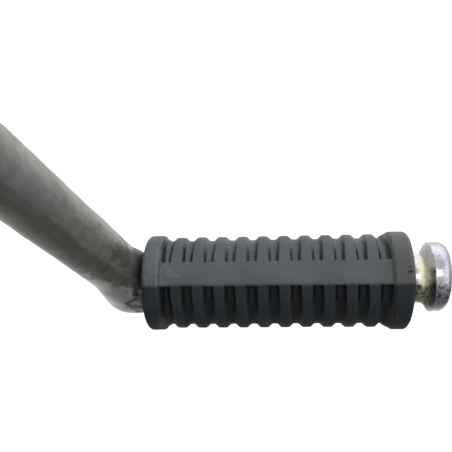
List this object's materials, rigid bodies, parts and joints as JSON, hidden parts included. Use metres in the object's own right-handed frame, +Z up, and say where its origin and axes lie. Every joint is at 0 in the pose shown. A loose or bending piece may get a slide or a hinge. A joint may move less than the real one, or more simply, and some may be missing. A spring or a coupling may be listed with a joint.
{
  "type": "kick start lever",
  "caption": "Folding kick start lever: serrated clamp boss, upright pivot stub, tapered round arm, and a ribbed rubber sleeve on a pedal pin with a mushroom head.",
  "frame": {"origin": "middle of the serrated bore that clamps on the kick shaft", "axes": "+X along the kick shaft, away from the engine; +Z up, the arm hangs down along -Z; the lever lies in the XZ plane with its pedal along +X"},
  "size_m": [0.1931, 0.0361, 0.2118],
  "materials": {
    "forged_boss": "plated forging, dulled",
    "forged_arm": "plated forging, dulled, brighter at the head",
    "zinc_steel": "zinc plated",
    "spring_steel": "oiled spring steel",
    "ball_steel": "polished",
    "pedal_rubber": "moulded, semi-matt"
  },
  "bodies": {
    "boss": {"kick_boss": "forged_boss", "pinch_bolt": "zinc_steel", "lock_washer": "zinc_steel", "stub_washer": "zinc_steel", "snap_ring": "spring_steel", "detent_spring": "spring_steel"},
    "arm": {"kick_arm": "forged_arm", "pedal_rubber": "pedal_rubber"},
    "ball": {"detent_ball": "ball_steel"}
  },
  "joints": [
    {"name": "arm_fold", "type": "hinge", "parent": "boss", "child": "arm", "pos_m": [0, 0, -0.033], "axis": [0, 0, -1], "range_deg": [0, 90]},
    {"name": "ball_detent", "type": "slide", "parent": "boss", "child": "ball", "axis": [0, 0, -1], "range_m": [0, 0.0008], "stiffness_N_per_m": 2000, "springref_m": 0.0008, "deforming": ["detent_spring"]}
  ]
}
